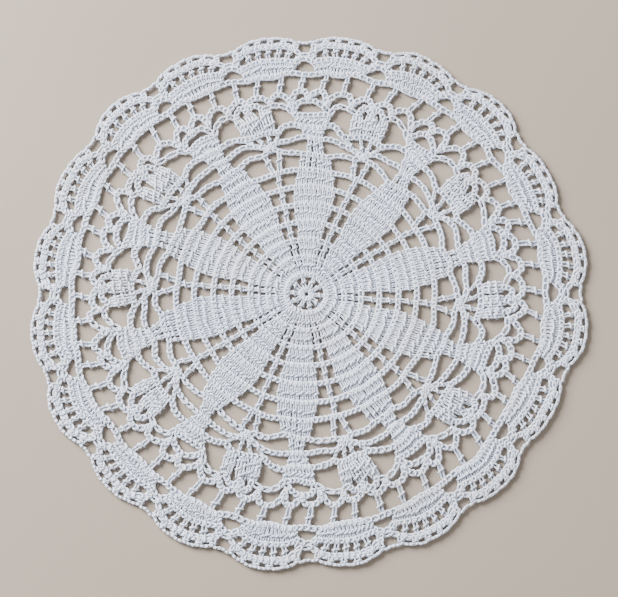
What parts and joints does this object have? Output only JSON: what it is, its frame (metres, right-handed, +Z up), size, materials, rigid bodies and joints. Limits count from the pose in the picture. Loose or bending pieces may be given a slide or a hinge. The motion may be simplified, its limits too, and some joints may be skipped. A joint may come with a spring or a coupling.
{
  "type": "lace doily",
  "caption": "Round crocheted lace doily lying flat, with a petalled middle, small fans, a net of chain arches and a rim of scalloped shells.",
  "frame": {"origin": "middle of the doily's outline, on the flat underside it rests on", "axes": "+Z up out of the cloth; +X and +Y lie in it, as the picture's right and top"},
  "size_m": [0.2402, 0.2366, 0.002],
  "materials": {
    "crochet_cotton": "matt mercerised crochet cotton in a cool white"
  },
  "bodies": {
    "root": {"doily": "crochet_cotton"}
  },
  "joints": []
}
